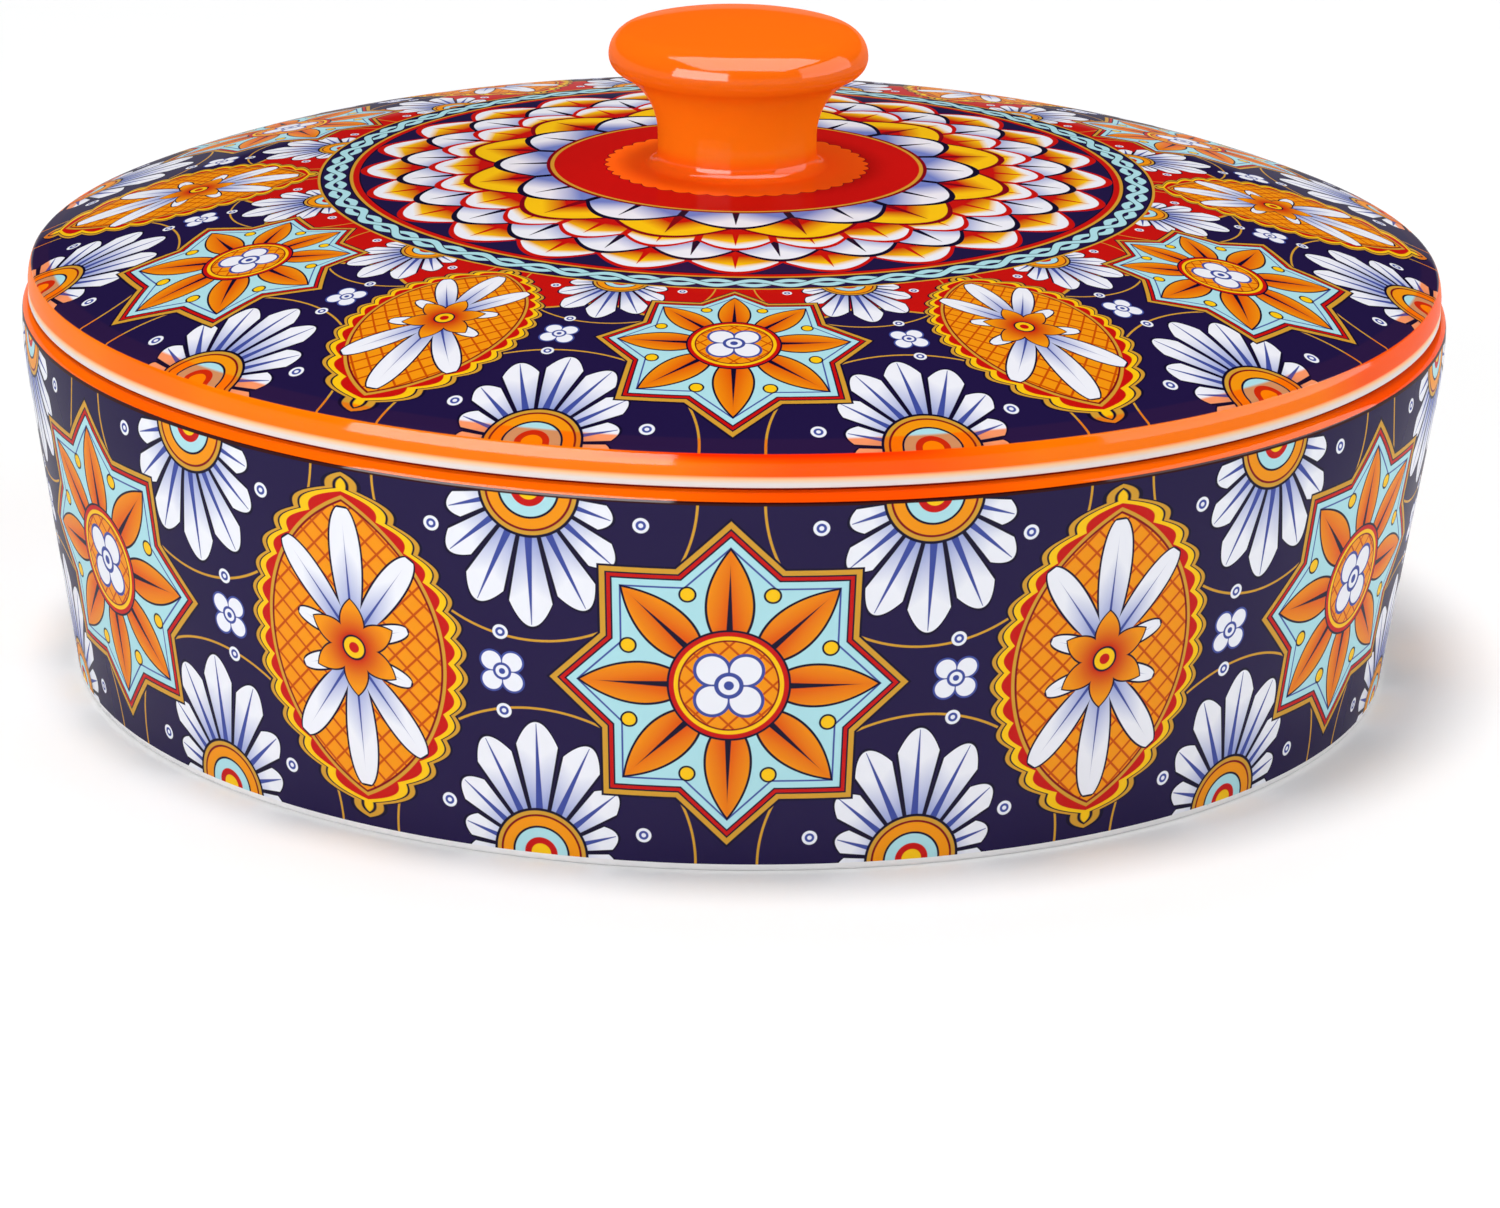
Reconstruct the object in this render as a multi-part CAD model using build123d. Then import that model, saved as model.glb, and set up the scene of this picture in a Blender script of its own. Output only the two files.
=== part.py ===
from build123d import *

# Covered round tortilla warmer in glazed ceramic: a flared dish, a domed lid that drops onto its rim, and the
# hollow knob that is stuck to the lid. Millimetres, +Z up; the origin is on the table, on the dish's own axis.

import os
from math import asin, atan, atan2, cos, degrees, hypot, radians, sin, sqrt, tan

# --- dish ---------------------------------------------------------------------------------------------------
DISH_HEIGHT = 70.0  # table to the top of the rim
FOOT_RADIUS = 122.2  # outside of the wall, carried down to the table
WALL_FLARE = 9.0  # how far the rim stands out beyond that
RIM_UPRIGHT = 8.5  # from the top of the rim down to where wall and upright rim would meet in a corner
RIM_BEND = 5.0  # the bend that takes that corner's place begins and ends this far from it
WALL = 6.2  # measured level, the same all the way up
FLOOR = 6.0
FLOOR_COVE = 14.0  # rounded inside corner between wall and floor
RIM_OUTER_ROUND = 2.4
RIM_INNER_ROUND = 1.6
FOOT_ROUND = 1.4  # soft lower edge of the wall
FOOT_RING_WIDTH = 8.0  # from the wall's outside to the recess
FOOT_RECESS = 1.8  # depth of the hollow inside the ground foot ring
FOOT_RECESS_FLANK = 2.5  # how far its sloping side runs inward

# --- lid ----------------------------------------------------------------------------------------------------
LID_COVER = 5.1  # how far the lid's edge reaches out over the rim, from the mouth
LID_EDGE_HEIGHT = 6.3  # seat to the line where the lip meets the dome
DOME_RISE = 17.0  # from that line to the top of the dome
CROWN_REACH = 78.0  # radius at which the flat crown gives way to the tighter shoulder
CROWN_DROP = 3.45  # height lost from the top of the dome to there
LID_WALL = 5.2
LIP_BULGE = 9.0  # the lip's upright face curves inward as it rises, on this radius
LIP_TURN = 22.0  # degrees that it leans in at its top
LIP_EDGE_ROUND = 1.2  # softens the line where the lip meets the dome
LID_SEAT_EASE = 0.6  # small bevel under the lid's outer edge
FLANGE_CLEARANCE = 1.2  # between the locating flange and the dish's mouth
FLANGE_DEPTH = 7.0  # how far the flange reaches down inside the mouth
FLANGE_THICKNESS = 4.8
FLANGE_DRAFT = 0.9  # its outside narrows by this much on the way down
FLANGE_EASE = 1.2  # bevel on both edges of its foot
FLANGE_COVE = 4.0  # rounded corner between flange and dome, inside
VENT_RADIUS = 2.0  # lets the air out of the hollow knob in the kiln

# --- knob ---------------------------------------------------------------------------------------------------
KNOB_HEIGHT = 28.0  # above its seat on the lid
KNOB_HEAD_RADIUS = 23.8
KNOB_CROWN_RADIUS = 80.0  # flat curve of the top of the head
KNOB_SHOULDER_RADIUS = 5.2  # edge of the head, above its widest line
KNOB_LIP_RADIUS = 3.4  # edge of the head, below its widest line
KNOB_NECK_RADIUS = 14.6
KNOB_NECK_LENGTH = 3.0  # upright stretch of the neck, below the S-curve
KNOB_FOOT_FLARE = 2.1  # radius of the little cove where the neck meets the lid
KNOB_FOOT_EDGE = 0.3  # upright edge left round the foot
KNOB_WALL = 4.5

# --- sizes that follow ----------------------------------------------------------------------------------------
SEAT_Z = DISH_HEIGHT  # the lid lies on the rim, face to face
RIM_RADIUS = FOOT_RADIUS + WALL_FLARE
MOUTH_RADIUS = RIM_RADIUS - WALL
LID_RADIUS = MOUTH_RADIUS + LID_COVER
DOME_RADIUS = LID_RADIUS - LIP_BULGE * (1 - cos(radians(LIP_TURN)))
FLANGE_RADIUS = MOUTH_RADIUS - FLANGE_CLEARANCE
DOME_EDGE_Z = SEAT_Z + LID_EDGE_HEIGHT
DOME_TOP_Z = DOME_EDGE_Z + DOME_RISE
KNOB_FOOT_RADIUS = KNOB_NECK_RADIUS + KNOB_FOOT_FLARE

# The dome is a crown arc centred on the axis, and a shoulder arc that leaves it tangent and ends at the lip.
CROWN_RADIUS = (CROWN_REACH**2 + CROWN_DROP**2) / (2 * CROWN_DROP)
CROWN_CENTRE = (0.0, DOME_TOP_Z - CROWN_RADIUS)
CROWN_TURN = asin(CROWN_REACH / CROWN_RADIUS)
SHOULDER_RUN = DOME_RADIUS - CROWN_REACH
SHOULDER_FALL = DOME_RISE - CROWN_DROP
SHOULDER_TURN = 2 * (atan2(SHOULDER_FALL, SHOULDER_RUN) - CROWN_TURN)
SHOULDER_RADIUS = hypot(SHOULDER_RUN, SHOULDER_FALL) / (2 * sin(SHOULDER_TURN / 2))
SHOULDER_CENTRE = (
    CROWN_REACH * (1 - SHOULDER_RADIUS / CROWN_RADIUS),
    CROWN_CENTRE[1] + (CROWN_RADIUS - SHOULDER_RADIUS) * cos(CROWN_TURN),
)


def joint_radius(depth):
    """Radius at which crown and shoulder meet, on the surface that lies this depth inside the dome."""
    return (CROWN_RADIUS - depth) * sin(CROWN_TURN)


def dome_height(r, depth=0.0):
    """Height of the dome's outside at a radius, or of the surface that lies this depth inside it."""
    on_crown = r <= joint_radius(depth)
    (centre_r, centre_z) = CROWN_CENTRE if on_crown else SHOULDER_CENTRE
    radius = (CROWN_RADIUS if on_crown else SHOULDER_RADIUS) - depth
    return centre_z + sqrt(radius**2 - (r - centre_r) ** 2)


def dome_arcs(inner, outer, depth=0.0):
    """The crown arc and the shoulder arc from one radius out to another, at this depth inside the dome."""
    joint = joint_radius(depth)
    stretches = [(inner, joint), (joint, outer)]
    return [
        ThreePointArc(*[(r, dome_height(r, depth)) for r in (start, (start + end) / 2, end)])
        for start, end in stretches
    ]


KNOB_SEAT_Z = dome_height(KNOB_FOOT_RADIUS)  # small flat land on top of the dome, which the knob is stuck to


def section(*lines):
    """The face inside a closed outline drawn as (radius, height)."""
    return make_face(Curve() + list(lines))


def eased(face, operation, *corners):
    """The face with each (radius, height, amount) corner filleted or chamfered."""
    for r, z, amount in corners:
        face = operation(face.vertices().sort_by_distance((r, z))[0], amount)
    return face


def turned(face):
    """The solid that a section makes when it is turned once round the axis."""
    return revolve(Plane.XZ * face, axis=Axis.Z)


def make_dish():
    """Flared wall that turns upright at the rim, a coved floor, and a ground foot ring round a shallow recess."""
    bend_z = DISH_HEIGHT - RIM_UPRIGHT
    lean = WALL_FLARE / bend_z
    bend_radius = RIM_BEND / tan(max(abs(atan(lean)), 0.01) / 2)
    floor_radius = FOOT_RADIUS + lean * FLOOR - WALL
    ring_inner = FOOT_RADIUS - FOOT_RING_WIDTH
    outline = Polyline(
        (0, FOOT_RECESS),
        (ring_inner - FOOT_RECESS_FLANK, FOOT_RECESS),
        (ring_inner, 0),
        (FOOT_RADIUS, 0),
        (RIM_RADIUS, bend_z),
        (RIM_RADIUS, DISH_HEIGHT),
        (MOUTH_RADIUS, DISH_HEIGHT),
        (MOUTH_RADIUS, bend_z),
        (floor_radius, FLOOR),
        (0, FLOOR),
        close=True,
    )
    face = eased(
        section(outline),
        fillet,
        (FOOT_RADIUS, 0, FOOT_ROUND),
        (RIM_RADIUS, bend_z, bend_radius),
        (RIM_RADIUS, DISH_HEIGHT, min(RIM_OUTER_ROUND, 0.4 * WALL)),
        (MOUTH_RADIUS, DISH_HEIGHT, min(RIM_INNER_ROUND, 0.4 * WALL)),
        (MOUTH_RADIUS, bend_z, bend_radius),
        (floor_radius, FLOOR, FLOOR_COVE),
    )
    return turned(face)


def make_lid():
    """Domed shell of even thickness, with a curved lip, a flat seat, a locating flange and a vent under the knob."""
    flange_inner = FLANGE_RADIUS - FLANGE_THICKNESS
    flange_outer = FLANGE_RADIUS - FLANGE_DRAFT
    flange_foot = SEAT_Z - FLANGE_DEPTH
    flange_root = dome_height(flange_inner, LID_WALL)
    lip_foot = DOME_EDGE_Z - LIP_BULGE * sin(radians(LIP_TURN))
    vent_top = (VENT_RADIUS, KNOB_SEAT_Z)
    vent_bottom = (VENT_RADIUS, dome_height(VENT_RADIUS, LID_WALL))

    face = section(
        Polyline(vent_bottom, vent_top, (KNOB_FOOT_RADIUS, KNOB_SEAT_Z)),
        *dome_arcs(KNOB_FOOT_RADIUS, DOME_RADIUS),
        JernArc((LID_RADIUS, lip_foot), (0, 1), LIP_BULGE, LIP_TURN),
        Polyline(
            (LID_RADIUS, lip_foot),
            (LID_RADIUS, SEAT_Z),
            (FLANGE_RADIUS, SEAT_Z),
            (flange_outer, flange_foot),
            (flange_inner, flange_foot),
            (flange_inner, flange_root),
        ),
        *dome_arcs(VENT_RADIUS, flange_inner, LID_WALL),
    )
    flange_ease = min(FLANGE_EASE, (flange_outer - flange_inner) / 3)
    face = eased(
        face,
        fillet,
        (DOME_RADIUS, DOME_EDGE_Z, LIP_EDGE_ROUND),
        (flange_inner, flange_root, FLANGE_COVE),
    )
    face = eased(
        face,
        chamfer,
        (LID_RADIUS, SEAT_Z, LID_SEAT_EASE),
        (flange_outer, flange_foot, flange_ease),
        (flange_inner, flange_foot, flange_ease),
    )
    return turned(face)


def make_knob():
    """Hollow mushroom knob: flat-domed head, a lip that sweeps in one S-curve to the neck, and a flared foot."""
    top = KNOB_SEAT_Z + KNOB_HEIGHT
    edge_centre_r = KNOB_HEAD_RADIUS - KNOB_SHOULDER_RADIUS
    crown_turn = asin(edge_centre_r / (KNOB_CROWN_RADIUS - KNOB_SHOULDER_RADIUS))
    crown = JernArc((0, top), (1, 0), KNOB_CROWN_RADIUS, -degrees(crown_turn))
    shoulder = JernArc(crown @ 1, crown % 1, KNOB_SHOULDER_RADIUS, degrees(crown_turn) - 90)

    widest_z = (shoulder @ 1).Y
    neck_z = KNOB_SEAT_Z + KNOB_FOOT_EDGE + KNOB_FOOT_FLARE + KNOB_NECK_LENGTH
    inward = KNOB_HEAD_RADIUS - KNOB_NECK_RADIUS
    downward = widest_z - neck_z
    sweep_turn = degrees(2 * atan2(inward, downward))
    cove_radius = (inward**2 + downward**2) / (2 * inward) - KNOB_LIP_RADIUS
    lip = JernArc(shoulder @ 1, (0, -1), KNOB_LIP_RADIUS, -sweep_turn)
    cove = JernArc(lip @ 1, lip % 1, cove_radius, sweep_turn)
    neck = Line(cove @ 1, (KNOB_NECK_RADIUS, neck_z - KNOB_NECK_LENGTH))
    flare = JernArc(neck @ 1, (0, -1), KNOB_FOOT_FLARE, 90)

    # The hollow is the slip-caster's drained middle: a bore up the neck that opens out under a level roof.
    bore = KNOB_NECK_RADIUS - KNOB_WALL
    hollow_radius = edge_centre_r - (KNOB_WALL - KNOB_LIP_RADIUS)
    hollow_roof = (crown @ 1).Y - KNOB_WALL
    inside = Polyline(
        flare @ 1,
        (KNOB_FOOT_RADIUS, KNOB_SEAT_Z),
        (bore, KNOB_SEAT_Z),
        (bore, hollow_roof - (hollow_radius - bore)),
        (hollow_radius, hollow_roof),
        (0, hollow_roof),
        (0, top),
    )
    return turned(section(crown, shoulder, lip, cove, neck, flare, inside))


def main():
    os.makedirs("parts", exist_ok=True)
    pieces = {"dish": make_dish(), "lid": make_lid(), "knob": make_knob()}
    for name, piece in pieces.items():
        piece.label = name
        export_step(piece, f"parts/{name}.step")


main()
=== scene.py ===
import math

import bpy
import numpy as np
from mathutils import Matrix, Vector


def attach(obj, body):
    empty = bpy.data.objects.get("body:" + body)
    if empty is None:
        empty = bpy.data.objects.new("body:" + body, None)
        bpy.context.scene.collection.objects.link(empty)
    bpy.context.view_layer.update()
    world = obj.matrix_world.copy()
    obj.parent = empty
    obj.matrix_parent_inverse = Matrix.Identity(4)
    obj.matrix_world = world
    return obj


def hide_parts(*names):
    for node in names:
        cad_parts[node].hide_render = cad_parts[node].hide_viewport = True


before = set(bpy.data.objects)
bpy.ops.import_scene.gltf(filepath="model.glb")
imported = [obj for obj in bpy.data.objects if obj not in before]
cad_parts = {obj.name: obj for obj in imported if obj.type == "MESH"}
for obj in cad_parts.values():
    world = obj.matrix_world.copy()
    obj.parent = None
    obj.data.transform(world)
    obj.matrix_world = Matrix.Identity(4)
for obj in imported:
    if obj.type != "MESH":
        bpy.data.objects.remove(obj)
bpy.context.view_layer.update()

MM = 0.001
SEGMENTS = 288  # round the axis; a multiple of 12, so that each panel of the print has whole columns
CHORD_ERROR = 0.006  # millimetres between an arc of an outline and its chords
LONG_STRETCH, EDGE_GAP = 4, 0.5  # a straight stretch over this length gets a ring this close to each end
CREASE = math.radians(28)  # a sharper bend than this stays a crisp edge


def srgb(red, green, blue):
    """A colour given as 8-bit sRGB, as linear light."""
    c = np.array((red, green, blue)) / 255
    return np.where(c <= 0.04045, c / 12.92, ((c + 0.055) / 1.055) ** 2.4)


NAVY = srgb(32, 21, 66)
INK = srgb(18, 12, 42)
AQUA = srgb(172, 220, 228)
WHITE = srgb(236, 238, 246)
LAVENDER = srgb(112, 130, 200)
BLUE = srgb(62, 76, 154)
GOLD = srgb(208, 154, 50)
AMBER = srgb(240, 148, 16)
ORANGE = srgb(222, 84, 8)
RED = srgb(196, 18, 14)
CRIMSON = srgb(126, 4, 22)
YELLOW = srgb(248, 196, 20)
GLAZE = srgb(255, 110, 12)
DEEP_GLAZE = srgb(255, 106, 18)
# painted light: a lighter orange for the knob's neck, which the head shades
NECK_PAINTED_LIGHT = srgb(255, 128, 18)
LIP_GLAZE = srgb(255, 120, 2)
LIP_RED = srgb(255, 86, 2)
SCARLET = srgb(255, 46, 0)
RIM_GLAZE = srgb(252, 100, 2)
RIM_RED = srgb(252, 78, 2)
PEACH = srgb(252, 196, 140)
LINE_WHITE = srgb(228, 220, 218)
FILM = srgb(255, 170, 125)
MAROON = srgb(48, 2, 4)
# dark line painted as the shade in the crack between lid and rim
SEAM_SHADE = srgb(110, 24, 6)
PORCELAIN = srgb(236, 235, 236)
BISCUIT = srgb(226, 218, 206)
LID_PAINTED_SHADE = srgb(242, 240, 240)  # painted shade: the lid's print is darkened, as the lid takes more light from above than the wall


# --- a small language for shader nodes --------------------------------------------------------------------
# A Value is k * socket + b. Sums and products with plain numbers only change k and b, and take no node.
tree = None


def new_node(kind, **settings):
    node = tree.nodes.new(kind)
    for key, value in settings.items():
        setattr(node, key, value)
    return node


def connect(value, socket):
    """Links a value to a socket, or sets it there if it is a plain number or colour."""
    if isinstance(value, Value):
        tree.links.new(value.solid(), socket)
    elif isinstance(value, bpy.types.NodeSocket):
        tree.links.new(value, socket)
    elif isinstance(value, np.ndarray):
        socket.default_value = (*[float(x) for x in value], 1.0)
    else:
        socket.default_value = float(value)


def math_node(operation, *inputs, clamp=False):
    node = new_node("ShaderNodeMath", operation=operation, use_clamp=clamp)
    for value, socket in zip(inputs, node.inputs):
        connect(value, socket)
    return node.outputs[0]


class Value:
    def __init__(self, socket, k=1.0, b=0.0):
        self.socket, self.k, self.b = socket, float(k), float(b)
        self.made = {}

    def solid(self):
        """The socket that carries the whole value."""
        if self.k == 1 and self.b == 0:
            return self.socket
        key = (self.k, self.b)
        if key not in self.made:
            if self.k == 1:
                self.made[key] = math_node("ADD", self.socket, self.b)
            elif self.b == 0:
                self.made[key] = math_node("MULTIPLY", self.socket, self.k)
            else:
                self.made[key] = math_node("MULTIPLY_ADD", self.socket, self.k, self.b)
        return self.made[key]

    def affine(self, k, b):
        other = Value(self.socket, self.k * k, self.b * k + b)
        other.made = self.made
        return other

    def __add__(self, other):
        if not isinstance(other, Value):
            return self.affine(1, other)
        one, two = (self, other) if other.k == 1 else (other, self)
        ratio = one.k / two.k
        if ratio == 1:
            socket = math_node("ADD", one.socket, two.socket)
        else:
            socket = math_node("MULTIPLY_ADD", one.socket, ratio, two.socket)
        return Value(socket, two.k, one.b + two.b)

    def __mul__(self, other):
        if not isinstance(other, Value):
            return self.affine(other, 0)
        one = Value(self.solid()) if self.b else self
        two = Value(other.solid()) if other.b else other
        return Value(math_node("MULTIPLY", one.socket, two.socket), one.k * two.k)

    def __truediv__(self, other):
        if not isinstance(other, Value):
            return self.affine(1 / other, 0)
        return Value(math_node("DIVIDE", self, other))

    def __sub__(self, other):
        return self + (other * -1)

    def __neg__(self):
        return self.affine(-1, 0)

    def __rsub__(self, other):
        return self.affine(-1, other)

    __rmul__ = __mul__


def absolute(x):
    inner = Value(x.socket, 1, x.b / x.k)
    return Value(math_node("ABSOLUTE", inner), abs(x.k))


def lesser(a, b):
    return Value(math_node("MINIMUM", a, b))


def greater(a, b):
    return Value(math_node("MAXIMUM", a, b))


def sine(x):
    return Value(math_node("SINE", x))


def cosine(x):
    return Value(math_node("COSINE", x))


def root(x):
    return Value(math_node("SQRT", x))


def angle(y, x):
    return Value(math_node("ARCTAN2", y, x))


def natural_log(x):
    return Value(math_node("LOGARITHM", x, math.e))


def wrap(x, low, high):
    return Value(math_node("WRAP", x, high, low))


def clamp(x):
    return Value(math_node("MULTIPLY_ADD", x.socket, x.k, x.b, clamp=True))


def length(x, y):
    node = new_node("ShaderNodeCombineXYZ")
    connect(x, node.inputs[0])
    connect(y, node.inputs[1])
    size = new_node("ShaderNodeVectorMath", operation="LENGTH")
    tree.links.new(node.outputs[0], size.inputs[0])
    return Value(size.outputs["Value"])


def mix(a, b, t):
    node = new_node("ShaderNodeMix", data_type="RGBA", clamp_factor=True)
    connect(t, node.inputs[0])
    connect(a, node.inputs[6])
    connect(b, node.inputs[7])
    return node.outputs[2]


def times(a, b):
    node = new_node("ShaderNodeMix", data_type="RGBA", blend_type="MULTIPLY")
    connect(1, node.inputs[0])
    connect(a, node.inputs[6])
    connect(b, node.inputs[7])
    return node.outputs[2]


# --- the print --------------------------------------------------------------------------------------------
# Distances are in millimetres and negative inside a shape. In a motif, c is the colour so far, d the distance
# to an edge, r and p the radius and the angle about its middle, t the share of a leaf's length and w the
# distance from the leaf's middle line.
EDGE = 0.12  # width over which one colour turns into the next
PANELS = 6  # round the object
PANEL_LENGTH = 133.0
PER_RADIAN = PANELS * PANEL_LENGTH / (2 * math.pi)
WALL_MIDDLE, WALL_STRETCH = 35.1, 1.011  # height of the panels' middle line on the wall, and their fit to it
RIM_LINE_Z, RIM_PAINT_Z = 67.65, 68.32  # lower edges of the dark line and of the orange on the rim
LID_MIDDLE = 99.1  # radius of the panels' middle line on the lid
RED_FIELD, RED_SCALLOP = 85.0, 8.0  # radius of the red round the rosette, and how far its scallops reach
FILM_RADIUS = 125.9  # from here outward, the lip's glaze runs over the print
SCARLET_Z, PEACH_Z, LINE_Z, SEAM_SHADE_Z = 74.6, 72.5, 72.0, 70.45  # where the lip's colours begin or end, the last being the painted shade in the seam
ROSETTE_RADIUS, ROPE_RADIUS, POOL_RADIUS = 77.0, 73.8, 23.3


def inside(d):
    return clamp(0.5 - d / EDGE)


def paint(base, d, colour):
    return mix(base, colour, inside(d))


def rings(c, r, *steps):
    for radius, colour in steps:
        c = paint(c, r - radius, colour)
    return c


def sector(p, n, offset=0.0):
    """Angle inside one of n equal sectors, measured from its middle line."""
    half = math.pi / n
    return wrap(p + offset, -half, half)


def blossom(c, u, v, r):
    """Small white four-lobed blossom with a blue heart."""
    a, b = absolute(u), absolute(v)
    d = length(a - 0.50 * r, b - 0.50 * r) - 0.47 * r
    c = rings(c, d, (0.10 * r, BLUE), (0, WHITE))
    return rings(c, length(a, b), (0.44 * r, BLUE), (0.31 * r, WHITE), (0.15 * r, BLUE))


def lattice(x, y, pitch):
    k = math.pi / (pitch * math.sqrt(2))
    web = lesser(absolute(sine((x + y) * k)), absolute(sine((x - y) * k)))
    return mix(ORANGE * 0.75, AMBER, clamp((web - 0.14) * 6))


def plume(c, r, p, n, middle, swing):
    """Fan of leaves, n to a full turn, white with a lavender root; the reach follows the angle."""
    a = sector(p, n)
    axis = cosine(p - a)
    reach = axis * axis * swing + (middle - swing)
    w = absolute(a) * r
    d = r + w * w * 0.30 - reach
    t = r / reach
    leaf = greater(d, w * 1.12 + 0.2 - r * (math.pi / n))
    c = paint(c, leaf - 0.5, INK)
    c = paint(c, leaf, mix(LAVENDER, WHITE, clamp(t * 2.1 - 0.52 - w * 0.06)))
    return paint(c, greater(w + t * 0.9 - 0.95, leaf + 0.3), BLUE)


def fan(c, x, y):
    """Half-round palmette that grows from the edge of the panel, inside a thin gold arch."""
    u, v = x - 33.0, 34.0 - y
    r, p = length(u, v), angle(u, v)
    c = rings(c, absolute(r - 27.6), (0.22, GOLD))
    c = plume(c, r, p, 15, 25.0, 11.5)
    c = rings(c, r, (8.6, INK), (8.1, GOLD), (7.4, CRIMSON), (7.0, AMBER))
    return rings(c, r, (5.2, INK), (4.8, AQUA), (3.0, RED), (1.8, YELLOW))


def oval(c, x, y):
    """Pointed oval with a scalloped border, leaves on a lattice ground, and a flower at its heart."""
    u = PANEL_LENGTH / 2 - x
    o = length(u + 13.56, y) - 31.56
    s = o - 1.5 * absolute(sine(y * (math.pi / 4.9)))
    c = rings(c, s, (2.6, INK), (2.2, GOLD), (1.5, INK), (1.2, YELLOW), (0.1, RED))
    c = rings(c, o, (-0.2, GOLD), (-0.8, CRIMSON))
    c = mix(c, lattice(u, y, 2.9), inside(o + 1.2))

    v = y - 1.5
    r, p = length(u, v), angle(u, v)
    a = sector(p, 10)
    reach = cosine(p - a) * 19.0 + 5.5
    t = r / reach
    w = absolute(a) * r
    d = greater(w - (0.27 * r + 0.6) * root(clamp(1.02 - t)), r - reach)
    c = paint(c, d - 0.4, INK)
    c = paint(c, d, mix(LAVENDER, WHITE, clamp(t * 1.6 - 0.2 + w * 0.1)))
    c = paint(c, greater(w - 0.5 * (0.8 - t), d + 0.4), BLUE)

    q = length(u, y)
    w = absolute(sector(angle(u, y), 6)) * q
    t = q / 8.0 - 0.125
    d = w - 9.5 * t * (1 - t)
    c = paint(c, d - 0.4, INK)
    c = paint(c, d, mix(RED, AMBER, clamp(t * 1.5 - 0.2)))
    return rings(c, q, (2.4, INK), (2.0, YELLOW), (1.0, RED))


def star(c, x, y):
    """Eight-pointed star: a flower of eight leaves on aqua, dots between them, and a blossom on a lattice."""
    d = lesser(greater(x, y), (x + y) * math.sqrt(0.5)) - 20.9
    c = rings(c, d, (0.9, INK), (0.5, GOLD), (-0.4, INK), (-0.7, RED), (-1.3, INK), (-1.6, AQUA))
    c = rings(c, absolute(d + 2.9), (0.16, BLUE))
    r, p = length(x, y), angle(y, x)
    w = absolute(sector(p, 8)) * r
    t = (r - 6) / 19.0
    d = w - (16.5 - 3 * t) * t * (1 - t)
    c = paint(c, d - 0.45, INK)
    c = paint(c, d, mix(ORANGE, AMBER, clamp(w * 0.20 + t * 0.9 - 0.35)))
    c = paint(c, greater(w + 0.9 * t - 0.75, d + 0.3), INK)
    dot = length(r - 18.2, sector(p, 8, math.pi / 8) * r)
    c = rings(c, dot, (1.5, INK), (1.15, YELLOW))
    c = rings(c, r, (10.4, INK), (10.0, RED), (9.2, YELLOW), (8.5, CRIMSON))
    c = mix(c, lattice(x, y, 2.6), inside(r - 8.2))
    return blossom(c, x, y, 5.6)


def panel(x, y, ground=NAVY):
    """One panel of the print, 66 mm high, which mirrors about both of its middle lines."""
    x, y = absolute(x), absolute(y)
    c = fan(ground, x, y)
    c = oval(c, x, y)
    c = star(c, x, y)
    c = blossom(c, x - 38.6, y, 3.7)
    for u, v in ((38.6, 7.4), (49.8, 26.0), (14.5, 29.0)):
        c = rings(c, length(x - u, y - v), (1.35, WHITE), (0.85, BLUE), (0.4, WHITE))
    return c


def tier(c, r, p, n, offset, tip, bow, fill, line):
    """One ring of overlapping petals, whose tips lie on a circle."""
    w = absolute(sector(p, n, offset)) * r
    d = r + w * w * bow - tip
    c = paint(c, d - 1.25, line)
    petal = greater(d, w + 0.7 - r * (math.pi / n))
    c = paint(c, petal, fill(tip - r, w))
    return paint(c, greater(w - 0.09 * (tip - r) + 0.10, petal + 1.6), line)


def white_petal(k, w):
    return mix(WHITE, LAVENDER, clamp(k * 0.16 - 0.75 + 0.10 * w))


def warm_petal(k, w):
    return mix(YELLOW, RED, clamp(k * 0.17 - w * 0.14 - 0.2))


def edged_petal(k, w):
    return mix(WHITE, mix(YELLOW, RED, clamp(k * 0.22 - 0.8)), clamp(k * 0.6 - 0.9 - w * 0.25))


def rosette(x, y):
    """Middle of the lid: rope border, tiers of petals, and the orange pool round the knob."""
    r, p = length(x, y), angle(y, x)
    c = rings(NAVY, r, (ROSETTE_RADIUS, GOLD), (76.5, INK), (76.2, NAVY))
    wave = sine(p * 36) * 1.25
    c = rings(c, absolute(r - ROPE_RADIUS - wave), (0.75, AQUA))
    c = rings(c, absolute(r - ROPE_RADIUS + wave), (1.0, INK), (0.75, AQUA))
    c = rings(c, r, (71.4, INK), (71.1, GOLD), (70.5, RED), (69.4, INK), (69.1, NAVY))
    half = math.pi / 24
    c = tier(c, r, p, 24, 0, 68.0, 0.085, edged_petal, RED)
    c = tier(c, r, p, 24, half, 61.5, 0.10, white_petal, INK)
    c = tier(c, r, p, 24, 0, 55.5, 0.11, edged_petal, RED)
    c = tier(c, r, p, 12, 2 * half, 50.0, 0.055, warm_petal, CRIMSON)
    c = tier(c, r, p, 12, 0, 43.5, 0.065, white_petal, INK)
    c = rings(c, r, (35.0, CRIMSON), (34.3, GOLD), (33.6, RED))
    scallop = r - POOL_RADIUS - 0.9 * absolute(sine(p * 21))
    # painted shade: the rosette is darkened like the rest of the lid's print
    return rings(times(c, LID_PAINTED_SHADE), scallop, (0.35, CRIMSON), (0.1, DEEP_GLAZE))


# --- materials --------------------------------------------------------------------------------------------
def material(name):
    """A new material and its Principled shader; the nodes made next go into it."""
    global tree
    mat = bpy.data.materials.new(name)
    mat.use_nodes = True
    tree = mat.node_tree
    return mat, tree.nodes["Principled BSDF"]


def place():
    """The point on the piece: x, y and z in millimetres, and the socket that they come from."""
    coords = new_node("ShaderNodeTexCoord")
    split = new_node("ShaderNodeSeparateXYZ")
    tree.links.new(coords.outputs["Object"], split.inputs[0])
    return [Value(s, 1 / MM) for s in split.outputs], coords.outputs["Object"]


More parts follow.
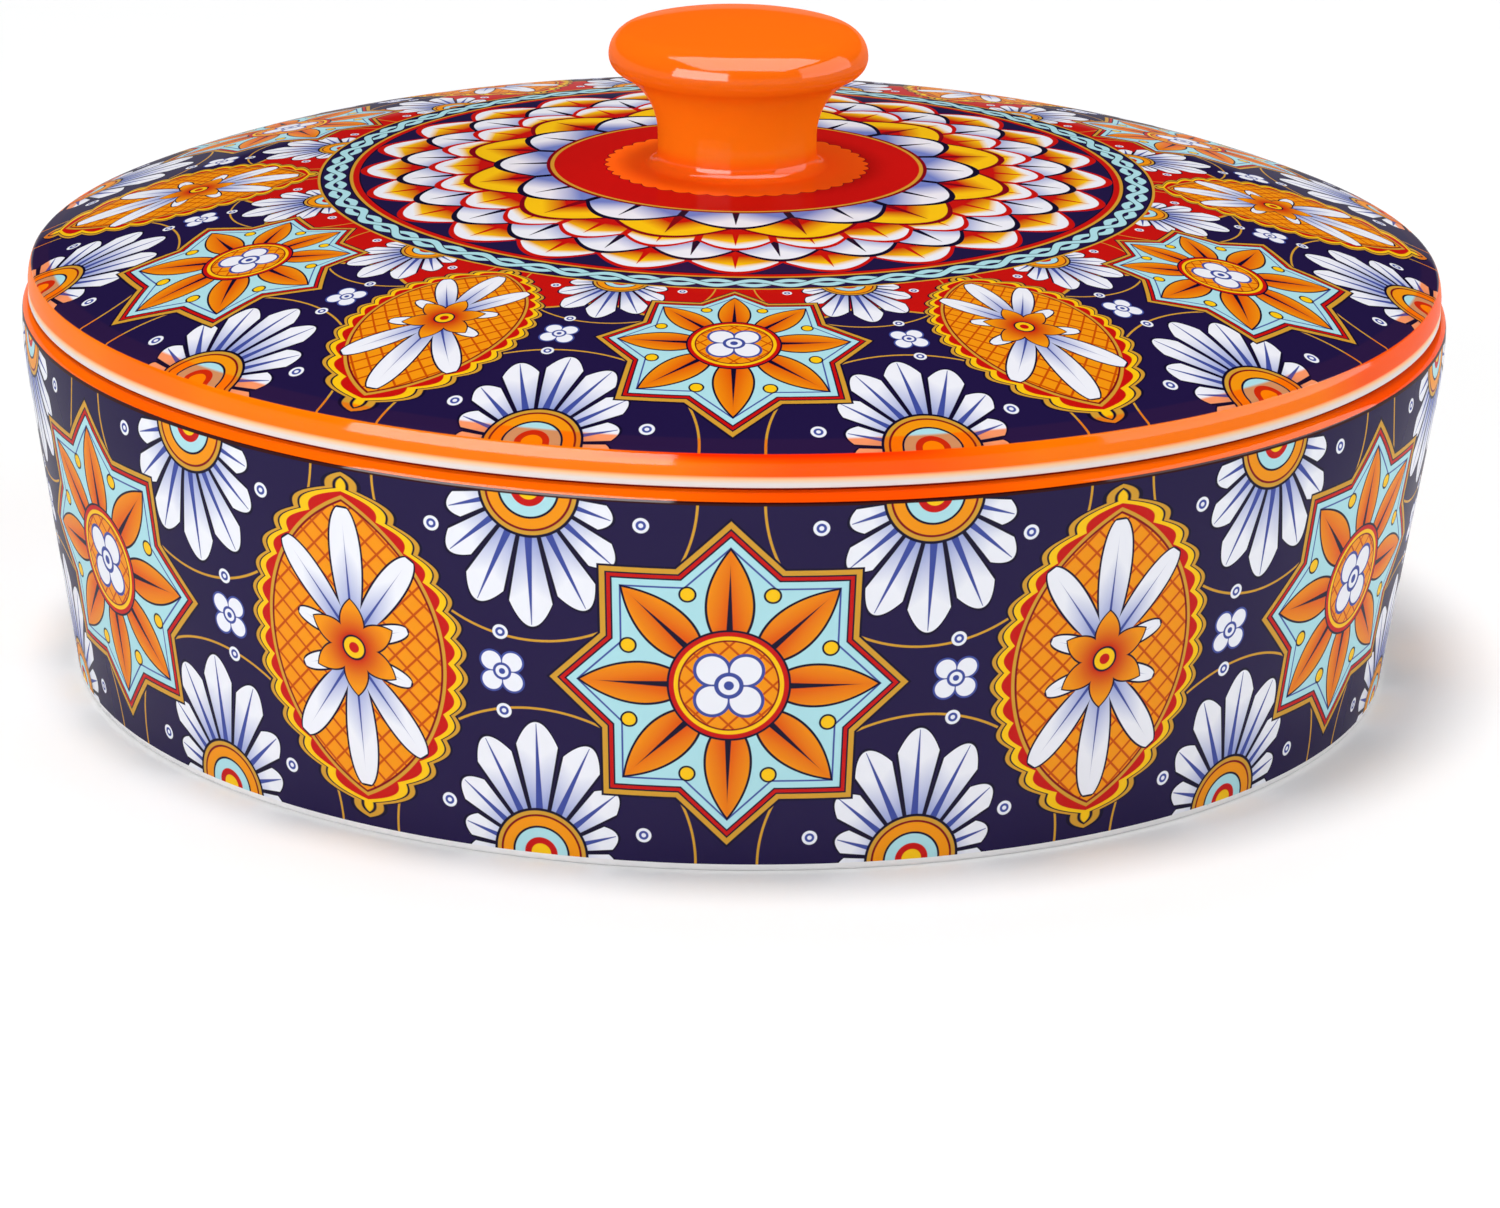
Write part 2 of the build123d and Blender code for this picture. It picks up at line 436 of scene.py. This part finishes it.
def noise(coords, pitch, detail=2.0):
    node = new_node("ShaderNodeTexNoise")
    node.inputs["Scale"].default_value = 1 / (pitch * MM)
    node.inputs["Detail"].default_value = detail
    tree.links.new(coords, node.inputs["Vector"])
    return node.outputs["Fac"]


def bump(shader, height, distance):
    node = new_node("ShaderNodeBump")
    node.inputs["Distance"].default_value = distance * MM
    connect(height, node.inputs["Height"])
    tree.links.new(node.outputs[0], shader.inputs["Normal"])
    return node


THICK_COAT, DOME_COAT, KNOB_COAT = 0.28, 0.12, 0.13  # weights of the clear coat
KNOB_IOR = 2.0  # dense glaze: about as bright face on as the thick coat, and fainter at a glancing angle
RIPPLE_PITCH, RIPPLE_HEIGHT = 14, 0.012


def glazed(shader, coords, weight=THICK_COAT, roughness=0.06, ior=1.5):
    """Clear fired glaze over the colour, with the faint ripple that it keeps from the kiln."""
    shader.inputs["Roughness"].default_value = 0.5
    shader.inputs["Specular IOR Level"].default_value = 0.0
    shader.inputs["Coat Weight"].default_value = weight
    shader.inputs["Coat Roughness"].default_value = roughness
    shader.inputs["Coat IOR"].default_value = ior
    node = bump(shader, noise(coords, RIPPLE_PITCH), RIPPLE_HEIGHT)
    tree.links.new(node.outputs[0], shader.inputs["Coat Normal"])


def filmed(c, t):
    """The print under a thin film of the lip's glaze: its pale colours turn orange, its dark ones don't."""
    light = new_node("ShaderNodeRGBToBW")
    connect(c, light.inputs[0])
    film = mix(times(c, FILM), LIP_GLAZE, 0.3)
    return mix(c, film, t * clamp(Value(light.outputs[0]) * 2.5))


def glaze_and_painted_shade(turn, thin, thick):
    """Orange glaze along an edge, redder in six waves round it where it lies thicker; it is also painted
    yellower towards the left, where the light falls, and redder towards the right, as painted light and
    shade.
    """
    return mix(thin, thick, clamp(cosine((turn - 0.14) * 6) * 1.3 + sine(turn) * 0.8 - 0.3))


def wall_print():
    """Panels of the print round the wall, and the orange rim above them."""
    mat, shader = material("wall_print")
    (x, y, z), coords = place()
    turn = angle(x, -y)
    u = wrap(turn * PER_RADIAN, -PANEL_LENGTH / 2, PANEL_LENGTH / 2)
    c = panel(u, (z - WALL_MIDDLE) * WALL_STRETCH)
    c = paint(c, RIM_LINE_Z - z, MAROON)
    # the rim's orange, with painted light on its left and painted shade on its right
    c = paint(c, RIM_PAINT_Z - z, glaze_and_painted_shade(turn, RIM_GLAZE, RIM_RED))
    connect(c, shader.inputs["Base Color"])
    glazed(shader, coords)
    return mat


def lid_print(name="lid_print", weight=DOME_COAT):
    """The same panels round the lid, by a map that keeps angles, so that they narrow towards the middle."""
    mat, shader = material(name)
    (x, y, z), coords = place()
    r = length(x, y)
    turn = angle(x, -y)
    u = wrap(turn * PER_RADIAN, -PANEL_LENGTH / 2, PANEL_LENGTH / 2)
    v = natural_log(r) * PER_RADIAN - math.log(LID_MIDDLE) * PER_RADIAN
    scallop = r - RED_FIELD - RED_SCALLOP * absolute(cosine(turn * PANELS))
    ground = rings(NAVY, scallop, (1.0, GOLD), (0.4, RED))
    # painted shade: darkens the lid's print, which takes more light from above than the wall
    c = times(panel(u, v, ground), LID_PAINTED_SHADE)
    c = filmed(c, clamp((r - FILM_RADIUS) / 0.5))
    # the lip's orange, with painted light on its left and painted shade on its right
    lip = glaze_and_painted_shade(turn, LIP_GLAZE, LIP_RED)
    lip = mix(lip, SCARLET, clamp((z - SCARLET_Z) / 1.2) * clamp((cosine(turn - 0.06) - 0.97) * 40))
    c = paint(c, LIP_TOP - r, lip)
    c = mix(c, PEACH, clamp((PEACH_Z - z) / 0.5))
    c = mix(c, LINE_WHITE, clamp((LINE_Z - z) / 0.8))
    # painted shade: a dark reddish line along the lid's lower edge, where it sits in the rim
    c = paint(c, z - SEAM_SHADE_Z, SEAM_SHADE)
    connect(c, shader.inputs["Base Color"])
    glazed(shader, coords, weight)
    return mat


def lip_glaze():
    """The lid's print and colours on its lip, where the glaze lies thick and shines more than on the dome."""
    return lid_print("lip_glaze", THICK_COAT)


def lid_rosette():
    """Rosette of the print on the lid's crown."""
    mat, shader = material("lid_rosette")
    (x, y, _), coords = place()
    connect(rosette(x, y), shader.inputs["Base Color"])
    glazed(shader, coords, DOME_COAT)
    return mat


def orange_glaze():
    """Glaze of the knob, with light painted onto its neck where the head shades it, and deeper where it
    gathers round the foot.
    """
    mat, shader = material("orange_glaze")
    (_, _, z), coords = place()
    c = mix(GLAZE, DEEP_GLAZE, clamp(Value(noise(coords, 9, 3)) * 0.5 - 0.1))
    up = z - KNOB_SEAT
    # painted light: the neck under the head is coloured lighter, to stand in for the light that its shade
    # takes away
    neck = clamp((up - 2.5) / 2) * clamp((19 - up) / 4)
    c = mix(mix(c, NECK_PAINTED_LIGHT, neck), DEEP_GLAZE, clamp((3.5 - up) / 2))
    connect(c, shader.inputs["Base Color"])
    glazed(shader, coords, KNOB_COAT, ior=KNOB_IOR)
    return mat


def white_glaze():
    """White glaze with a few faint specks, inside and on the foot."""
    mat, shader = material("white_glaze")
    _, coords = place()
    speck = clamp((Value(noise(coords, 1.6, 1)) - 0.80) * 18)
    connect(mix(PORCELAIN, PORCELAIN * 0.82, speck), shader.inputs["Base Color"])
    glazed(shader, coords, roughness=0.10)
    return mat


def biscuit():
    """Bare fired clay, where the pieces stand or are stuck together."""
    mat, shader = material("biscuit")
    _, coords = place()
    grain = noise(coords, 0.7, 4)
    connect(mix(BISCUIT, BISCUIT * 0.8, Value(grain)), shader.inputs["Base Color"])
    shader.inputs["Roughness"].default_value = 0.85
    bump(shader, grain, 0.05)
    return mat


# --- turned pieces ----------------------------------------------------------------------------------------
# An outline is a list of (r, z, finish): a point in millimetres, and the material from there to the next one.


def fillet(before, corner, after, radius, finish):
    """Points of the arc that rounds a corner between two straight stretches."""
    a = np.array(before[:2]) - corner
    b = np.array(after[:2]) - corner
    a, b = a / np.hypot(*a), b / np.hypot(*b)
    half = math.acos(np.clip(a @ b, -1, 1)) / 2
    centre = corner + (a + b) / np.hypot(*(a + b)) * radius / math.sin(half)
    start, end = corner + a * radius / math.tan(half), corner + b * radius / math.tan(half)
    return arc(centre, start, end, finish)


def arc(centre, start, end, finish):
    """Points from start to end about a centre, by the shorter way, with chords that stay near to the arc."""
    first = math.atan2(start[1] - centre[1], start[0] - centre[0])
    turn = math.atan2(end[1] - centre[1], end[0] - centre[0]) - first
    turn = (turn + math.pi) % (2 * math.pi) - math.pi
    radius = math.hypot(start[0] - centre[0], start[1] - centre[1])
    steps = max(2, math.ceil(abs(turn) / (2 * math.acos(1 - CHORD_ERROR / radius))))
    turns = [first + turn * i / steps for i in range(steps + 1)]
    return [(centre[0] + radius * math.cos(t), centre[1] + radius * math.sin(t), finish) for t in turns]


def outline(*corners):
    """Joins corners (r, z, finish, round) into an outline; the round is a radius and may be left out."""
    points = []
    last = len(corners) - 1
    for i, (r, z, finish, *rounds) in enumerate(corners):
        if rounds and 0 < i < last:
            points += fillet(corners[i - 1], np.array((r, z)), corners[i + 1], rounds[0], finish)
        else:
            points.append((r, z, finish))
    joined = []
    for (r0, z0, finish), (r1, z1, _) in zip(points, points[1:]):
        joined.append((r0, z0, finish))
        span = math.hypot(r1 - r0, z1 - z0)
        if span > LONG_STRETCH:
            for t in (EDGE_GAP / span, 1 - EDGE_GAP / span):
                joined.append((r0 + (r1 - r0) * t, z0 + (z1 - z0) * t, finish))
    return joined + points[-1:]


class Disc:
    """Place in the texture for rings about the axis, each as far out as its share of the outline's length."""

    def __init__(self, x, y, radius):
        self.x, self.y, self.radius = x, y, radius

    def at(self, share, turn, _):
        return self.x + self.radius * share * math.cos(turn), self.y + self.radius * share * math.sin(turn)


class Strips:
    """Place in the texture for a wall, as strips one above the other with a narrow margin round each."""

    def __init__(self, low, height, count=3):
        self.low, self.height, self.count = low, height, count

    def at(self, share, turn, segment):
        per = SEGMENTS // self.count
        strip = segment // per
        along = (turn / (2 * math.pi) * SEGMENTS - strip * per) / per
        return 0.005 + 0.99 * along, self.low + self.height * (strip + 0.04 + 0.92 * share)


def turned(name, body, node, points, materials, charts, closed=False):
    """Turns an outline about the axis into one closed mesh, on a body and in the place of a CAD node.

    Each chart is the first and the last step of the outline that it takes, whether it runs outward, and its
    place in the texture.
    """
    circles, vertices = [], []
    for r, z, _ in points:
        if r < 1e-6:
            circles.append([len(vertices)] * SEGMENTS)
            vertices.append((0, 0, z * MM))
            continue
        circles.append(list(range(len(vertices), len(vertices) + SEGMENTS)))
        for i in range(SEGMENTS):
            t = 2 * math.pi * i / SEGMENTS
            vertices.append((r * MM * math.sin(t), -r * MM * math.cos(t), z * MM))
    names = sorted({finish for *_, finish in points})
    steps = [math.hypot(b[0] - a[0], b[1] - a[1]) for a, b in zip(points, points[1:] + points[:1])]
    travel = np.concatenate([[0], np.cumsum(steps)])
    faces, slots, uvs = [], [], []
    last = len(points) if closed else len(points) - 1
    for i in range(last):
        low, high = circles[i], circles[(i + 1) % len(points)]
        first, final, outward, chart = next(c for c in charts if c[0] <= i < c[1])
        run = travel[final] - travel[first]
        shares = [(travel[k] - travel[first]) / run for k in (i, i + 1)]
        shares = shares if outward else [1 - share for share in shares]
        for j in range(SEGMENTS):
            k = (j + 1) % SEGMENTS
            turns = [2 * math.pi * j / SEGMENTS, 2 * math.pi * (j + 1) / SEGMENTS]
            quad = [(low[j], shares[0], turns[0]), (low[k], shares[0], turns[1]),
                    (high[k], shares[1], turns[1]), (high[j], shares[1], turns[0])]
            if low[j] == low[k]:
                del quad[1]
            elif high[j] == high[k]:
                del quad[2]
            faces.append([v for v, _, _ in quad])
            uvs += [chart.at(s, t, j) for _, s, t in quad]
            slots.append(names.index(points[i][2]))
    mesh = bpy.data.meshes.new(name)
    mesh.from_pydata(vertices, [], faces)
    layer = mesh.uv_layers.new(name="OFBake")
    layer.data.foreach_set("uv", np.array(uvs, dtype=np.float32).ravel())
    for finish in names:
        mesh.materials.append(materials[finish])
    mesh.polygons.foreach_set("material_index", slots)
    mesh.polygons.foreach_set("use_smooth", [True] * len(faces))
    mesh.set_sharp_from_angle(angle=CREASE)
    obj = bpy.data.objects.new(name, mesh)
    bpy.context.collection.objects.link(obj)
    if volume(mesh) < 0:
        mesh.flip_normals()
    mesh.update()
    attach(obj, body)
    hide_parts(node)
    return obj


def volume(mesh):
    """Volume inside a closed mesh, which is negative if its faces point inward."""
    mesh.calc_loop_triangles()
    points = np.array([v.co for v in mesh.vertices])
    corners = np.array([t.vertices for t in mesh.loop_triangles])
    a, b, c = (points[corners[:, i]] for i in range(3))
    return float(np.einsum("ij,ij->i", a, np.cross(b, c)).sum() / 6)


# The sizes are the CAD model's, in millimetres. An EASE is a bevel, and a ROUND or a COVE is a radius.
DISH_HEIGHT, RIM_RADIUS, FOOT_RADIUS, WALL, FLOOR = 70.0, 131.2, 122.2, 6.2, 6.0
RIM_UPRIGHT, RIM_BEND, RIM_OUTER_ROUND, RIM_INNER_ROUND = 8.5, 5.0, 2.4, 1.6
FOOT_ROUND, FOOT_RING, FOOT_RECESS, RECESS_FLANK, FLOOR_COVE = 1.0, 8.0, 1.8, 2.5, 14.0
BARE_FOOT = 1.4  # height at which the print on the wall begins
BARE_MOUTH = 1.8  # depth below the rim at which its orange ends, inside
MOUTH_RADIUS = RIM_RADIUS - WALL

LID_COVER, DOME_EDGE_Z, DOME_RISE, LID_WALL = 5.1, 76.3, 17.0, 5.2
LID_RADIUS = MOUTH_RADIUS + LID_COVER
CROWN_REACH, CROWN_DROP = 78.0, 3.45
LIP_BULGE, LIP_TURN, LIP_EDGE_ROUND, SEAT_EASE = 9.0, math.radians(22), 1.2, 0.6
LIP_TOP = LID_RADIUS - LIP_BULGE * (1 - math.cos(LIP_TURN))
LIP_FOOT_Z = DOME_EDGE_Z - LIP_BULGE * math.sin(LIP_TURN)
FLANGE_GAP, FLANGE_DEPTH, FLANGE_THICKNESS, FLANGE_DRAFT = 1.2, 7.0, 4.8, 0.9
FLANGE_EASE, FLANGE_COVE = 1.2, 4.0
FLANGE_RADIUS = MOUTH_RADIUS - FLANGE_GAP
VENT_RADIUS = 2
CROWN_PITCH, SHOULDER_PITCH, UNDERSIDE_PITCH = 3.0, 2.0, 4.0  # from ring to ring of the dome's mesh
DOME_EDGE_RADIUS, UNDERSIDE_RADIUS = 128.3, 112.0  # last ring before the lip, and before the flange's cove

KNOB_HEIGHT, KNOB_FOOT, KNOB_NECK, KNOB_HEAD, KNOB_WALL = 28.0, 16.7, 14.6, 23.8, 4.5
KNOB_BED = 0.05  # how far the knob is sunk into the lid


def dome():
    """Function that gives the height of the lid's outside, or of the surface a depth inside it."""
    crown = (CROWN_REACH**2 + CROWN_DROP**2) / (2 * CROWN_DROP)
    turn = math.asin(CROWN_REACH / crown)
    run, fall = LIP_TOP - CROWN_REACH, DOME_RISE - CROWN_DROP
    bend = 2 * (math.atan2(fall, run) - turn)
    shoulder = math.hypot(run, fall) / (2 * math.sin(bend / 2))
    crown_z = DOME_EDGE_Z + DOME_RISE - crown
    shoulder_r = CROWN_REACH * (1 - shoulder / crown)
    shoulder_z = crown_z + (crown - shoulder) * math.cos(turn)

    def height(r, depth=0.0):
        if r <= (crown - depth) * math.sin(turn):
            return crown_z + math.sqrt((crown - depth) ** 2 - r**2)
        return shoulder_z + math.sqrt((shoulder - depth) ** 2 - (r - shoulder_r) ** 2)

    return height


dome_height = dome()
KNOB_SEAT = dome_height(KNOB_FOOT)


def make_dish(materials):
    """Flared dish with an upright rim, white inside, on an unglazed foot ring."""
    bend_z = DISH_HEIGHT - RIM_UPRIGHT
    lean = (RIM_RADIUS - FOOT_RADIUS) / bend_z
    bend = RIM_BEND / math.tan(math.atan(lean) / 2)
    floor_radius = FOOT_RADIUS + lean * FLOOR - WALL
    ring_inner = FOOT_RADIUS - FOOT_RING
    points = outline(
        (0, FOOT_RECESS, "white_glaze"),
        (ring_inner - RECESS_FLANK, FOOT_RECESS, "biscuit"),
        (ring_inner, 0, "biscuit"),
        (FOOT_RADIUS, 0, "white_glaze", FOOT_ROUND),
        (FOOT_RADIUS + lean * BARE_FOOT, BARE_FOOT, "wall_print"),
        (RIM_RADIUS, bend_z, "wall_print", bend),
        (RIM_RADIUS, DISH_HEIGHT, "wall_print", RIM_OUTER_ROUND),
        (MOUTH_RADIUS, DISH_HEIGHT, "wall_print", RIM_INNER_ROUND),
        (MOUTH_RADIUS, DISH_HEIGHT - BARE_MOUTH, "white_glaze"),
        (MOUTH_RADIUS, bend_z, "white_glaze", bend),
        (floor_radius, FLOOR, "white_glaze", FLOOR_COVE),
        (0, FLOOR, "white_glaze"),
    )
    whites = [i for i, (*_, finish) in enumerate(points) if finish == "white_glaze"]
    foot = next(i for i in whites if points[i][0] > ring_inner)
    inner = next(i for i in whites if points[i][1] > bend_z)
    charts = [
        (0, foot, True, Disc(0.115, 0.885, 0.11)),
        (foot, inner, True, Strips(0.0, 0.255)),
        (inner, len(points) - 1, False, Disc(0.40, 0.885, 0.11)),
    ]
    return turned("dish_glazed", "dish", "dish", points, materials, charts)


def make_lid(materials):
    """Domed lid with a curved lip, an unglazed seat, a flange inside the mouth and a vent up its middle."""
    seat = DISH_HEIGHT
    outer, inner, foot = FLANGE_RADIUS - FLANGE_DRAFT, FLANGE_RADIUS - FLANGE_THICKNESS, seat - FLANGE_DEPTH
    points = [(VENT_RADIUS, KNOB_SEAT, "white_glaze")]
    crown = np.arange(20, ROSETTE_RADIUS, CROWN_PITCH)
    shoulder = np.arange(ROSETTE_RADIUS, DOME_EDGE_RADIUS, SHOULDER_PITCH)
    radii = [KNOB_FOOT, *crown, *shoulder, DOME_EDGE_RADIUS]
    points += [(r, dome_height(r), "lid_rosette" if r < ROSETTE_RADIUS else "lid_print") for r in radii]
    lip_foot = (LID_RADIUS, LIP_FOOT_Z)
    lip = arc((LID_RADIUS - LIP_BULGE, LIP_FOOT_Z), (LIP_TOP, DOME_EDGE_Z), lip_foot, "lip_glaze")
    edge = [
        points[-1],
        (LIP_TOP, DOME_EDGE_Z, "lip_glaze", LIP_EDGE_ROUND),
        *lip[1:],
        (LID_RADIUS, seat + SEAT_EASE, "lip_glaze"),
        (LID_RADIUS - SEAT_EASE, seat, "biscuit"),
        (FLANGE_RADIUS, seat, "white_glaze"),
        (outer, foot, "white_glaze", FLANGE_EASE),
        (inner, foot, "white_glaze", FLANGE_EASE),
        (inner, dome_height(inner, LID_WALL), "white_glaze", FLANGE_COVE),
        (UNDERSIDE_RADIUS, dome_height(UNDERSIDE_RADIUS, LID_WALL), "white_glaze"),
    ]
    points = points[:-1] + outline(*edge)
    top = next(i for i, (*_, finish) in enumerate(points) if finish == "biscuit")
    underside = np.arange(UNDERSIDE_RADIUS - UNDERSIDE_PITCH, UNDERSIDE_PITCH, -UNDERSIDE_PITCH)
    points += [(r, dome_height(r, LID_WALL), "white_glaze") for r in underside]
    points.append((VENT_RADIUS, dome_height(VENT_RADIUS, LID_WALL), "biscuit"))
    charts = [
        (0, top, True, Disc(0.425, 0.575, 0.42)),
        (top, len(points) - 1, False, Disc(0.845, 0.155, 0.15)),
        (len(points) - 1, len(points), True, Strips(0.01, 0.01, 1)),
    ]
    return turned("lid_glazed", "lid", "lid", points, materials, charts, closed=True)


def make_knob(materials):
    """Mushroom-shaped knob, hollow, whose arcs each meet the next tangent."""
    top = KNOB_SEAT + KNOB_HEIGHT
    crown, shoulder, lip, flare, straight = 80.0, 5.2, 3.4, 2.4, 3.0
    edge_r = KNOB_HEAD - shoulder
    turn = math.asin(edge_r / (crown - shoulder))
    widest = top - crown + (crown - shoulder) * math.cos(turn)
    neck = KNOB_SEAT + flare + straight
    across, down = KNOB_HEAD - KNOB_NECK, widest - neck
    cove = (across**2 + down**2) / (2 * across) - lip
    bend = 2 * math.atan2(across, down)
    crown_end = (crown * math.sin(turn), top - crown + crown * math.cos(turn))
    joint = (KNOB_HEAD - lip + lip * math.cos(bend), widest - lip * math.sin(bend))
    foot = (KNOB_NECK + flare, KNOB_SEAT)
    glaze = "orange_glaze"
    points = arc((0, top - crown), (0, top), crown_end, glaze)[:-1]
    points += arc((edge_r, widest), crown_end, (KNOB_HEAD, widest), glaze)[:-1]
    points += arc((KNOB_HEAD - lip, widest), (KNOB_HEAD, widest), joint, glaze)[:-1]
    points += arc((KNOB_NECK + cove, neck), joint, (KNOB_NECK, neck), glaze)
    points += arc((foot[0], KNOB_SEAT + flare), (KNOB_NECK, KNOB_SEAT + flare), foot, glaze)
    bore, hollow = KNOB_NECK - KNOB_WALL, edge_r - (KNOB_WALL - lip)
    roof = crown_end[1] - KNOB_WALL
    outside = len(points)
    points += [
        (foot[0], KNOB_SEAT - KNOB_BED, "biscuit"),
        (bore, KNOB_SEAT - KNOB_BED, "biscuit"),
        (bore, roof - (hollow - bore), "biscuit"),
        (hollow, roof, "biscuit"),
        (0, roof, "biscuit"),
    ]
    charts = [
        (0, outside, True, Disc(0.36, 0.64, 0.35)),
        (outside, len(points) - 1, False, Disc(0.86, 0.14, 0.13)),
    ]
    return turned("knob_glazed", "lid", "knob", points, materials, charts)


# --- stage ------------------------------------------------------------------------------------------------
STUDIO, EVEN_LIGHT = 0.06, 0.20  # how bright the dim studio looks, and the light that comes from all round
HORIZON, HORIZON_BLUR = math.radians(4), 0.03  # the white backdrop ends this high, and fades over this
FLOOR_ALBEDO, FLOOR_GLOW, FAR_GLOW = 0.83, 0.15, 0.17  # its glow lifts the floor to white, more so far off
GLOW_NEAR, GLOW_FADE = 0.6, 2.4  # metres from the object where the far glow begins, and over which it grows


def seen():
    """1 for what the camera sees, directly or in a reflection, and 0 for light that falls on a surface."""
    path = new_node("ShaderNodeLightPath")
    both = math_node("MAXIMUM", path.outputs["Is Camera Ray"], path.outputs["Is Glossy Ray"])
    return math_node("MAXIMUM", both, path.outputs["Is Transmission Ray"])


def make_floor():
    """Pale floor that reads as white where nothing shades it, and keeps a soft shadow."""
    bpy.ops.mesh.primitive_circle_add(vertices=96, radius=30, fill_type="NGON")
    floor = bpy.context.object
    floor.name = "floor"
    mat, shader = material("floor")
    tree.nodes.remove(shader)
    diffuse, light = new_node("ShaderNodeBsdfDiffuse"), new_node("ShaderNodeEmission")
    connect(np.full(3, FLOOR_ALBEDO), diffuse.inputs["Color"])
    distance = new_node("ShaderNodeVectorMath", operation="LENGTH")
    tree.links.new(new_node("ShaderNodeTexCoord").outputs["Object"], distance.inputs[0])
    far = clamp((Value(distance.outputs["Value"]) - GLOW_NEAR) / GLOW_FADE)
    connect((far * FAR_GLOW + FLOOR_GLOW) * Value(seen()), light.inputs["Strength"])
    light.inputs["Color"].default_value = (0.98, 0.995, 1, 1)
    both = new_node("ShaderNodeAddShader")
    tree.links.new(diffuse.outputs[0], both.inputs[0])
    tree.links.new(light.outputs[0], both.inputs[1])
    tree.links.new(both.outputs[0], tree.nodes["Material Output"].inputs["Surface"])
    floor.data.materials.append(mat)


def make_world():
    """White backdrop along the horizon with a dim studio above it, and even light from all round."""
    global tree
    world = bpy.data.worlds.new("studio")
    bpy.context.scene.world = world
    world.use_nodes = True
    tree = world.node_tree
    background = tree.nodes["Background"]
    background.inputs["Color"].default_value = (1, 1, 1, 1)
    split = new_node("ShaderNodeSeparateXYZ")
    tree.links.new(new_node("ShaderNodeTexCoord").outputs["Generated"], split.inputs[0])
    height = clamp((Value(split.outputs[2]) - math.sin(HORIZON)) / HORIZON_BLUR)
    look = 1 - height * (1 - STUDIO)
    connect(look * Value(seen()) + EVEN_LIGHT * (1 - Value(seen())), background.inputs["Strength"])


def sun(name, azimuth, elevation, strength, spread):
    """Broad light from a direction: azimuth 0 is from the front, 90 from the right."""
    data = bpy.data.lights.new(name, "SUN")
    data.energy = strength * math.pi
    data.angle = math.radians(spread)
    lamp = bpy.data.objects.new(name, data)
    bpy.context.collection.objects.link(lamp)
    a, e = math.radians(azimuth), math.radians(elevation)
    towards = Vector((math.sin(a) * math.cos(e), -math.cos(a) * math.cos(e), math.sin(e)))
    lamp.rotation_mode = "QUATERNION"
    lamp.rotation_quaternion = towards.to_track_quat("Z", "Y")
    lamp.visible_glossy = False


def softbox(name, position, aim, width, height, light, shine, shows_in=None):
    """Rectangular studio light that faces a point: one lamp gives light, and the other shows in the glaze.

    The second stands a little nearer, and shows in every piece or in one alone.
    """
    for part, radiance in (("light", light), ("shine", shine)):
        data = bpy.data.lights.new(f"{name}_{part}", "AREA")
        data.shape, data.size, data.size_y = "RECTANGLE", width, height
        data.energy = radiance * math.pi * width * height
        lamp = bpy.data.objects.new(data.name, data)
        bpy.context.collection.objects.link(lamp)
        lamp.location = Vector(position).lerp(Vector(aim), 0.02 if part == "shine" else 0)
        lamp.rotation_mode = "QUATERNION"
        lamp.rotation_quaternion = (Vector(position) - Vector(aim)).to_track_quat("Z", "Y")
        lamp.visible_glossy, lamp.visible_diffuse = part == "shine", part == "light"
        if shows_in and part == "shine":
            lamp.light_linking.receiver_collection = bpy.data.collections.new(data.name)
            lamp.light_linking.receiver_collection.objects.link(shows_in)


def make_camera():
    """Camera on the photograph's own sight line: 16.3 degrees up, 1.12 m from the middle of the object."""
    distance, aim_z, elevation = 1.1199, 0.045, math.radians(16.34)
    pan, tilt, roll = math.radians(0.2), math.radians(1.81), math.radians(0.93)
    down = elevation + tilt
    forward = Vector((math.sin(pan) * math.cos(down), math.cos(pan) * math.cos(down), -math.sin(down)))
    right = Vector((math.cos(pan), -math.sin(pan), 0))
    up = right.cross(forward)
    x_axis = right * math.cos(roll) + up * math.sin(roll)
    y_axis = up * math.cos(roll) - right * math.sin(roll)
    data = bpy.data.cameras.new("camera")
    data.lens = 143.97
    data.sensor_width = 36
    data.clip_start, data.clip_end = 0.05, 100
    camera = bpy.data.objects.new("camera", data)
    bpy.context.collection.objects.link(camera)
    turn = Matrix((x_axis, y_axis, -forward)).transposed()
    position = Vector((0, -distance * math.cos(elevation), aim_z + distance * math.sin(elevation)))
    camera.matrix_world = Matrix.Translation(position) @ turn.to_4x4()
    bpy.context.scene.camera = camera


makers = (wall_print, lid_print, lip_glaze, lid_rosette, orange_glaze, white_glaze, biscuit)
finishes = {make.__name__: make() for make in makers}
make_dish(finishes)
make_lid(finishes)
knob = make_knob(finishes)
make_floor()
make_world()
softbox("overhead", (0.4, -1.05, 2.0), (0.4, -1.05, 0), 3.8, 2.5, light=0.20, shine=12.5, shows_in=knob)
softbox("front_left", (-0.9, -1.33, 0.49), (0, 0, 0.49), 1.5, 0.96, light=3.27, shine=19.5)
softbox("right", (1.8, -0.09, 0.62), (0, 0, 0.62), 2.0, 1.24, light=2.15, shine=5.3)
sun("left", azimuth=-85, elevation=84, strength=0.47, spread=16)
sun("back", azimuth=-163, elevation=53, strength=0.21, spread=40)
make_camera()
bpy.context.scene.view_settings.view_transform = "Standard"
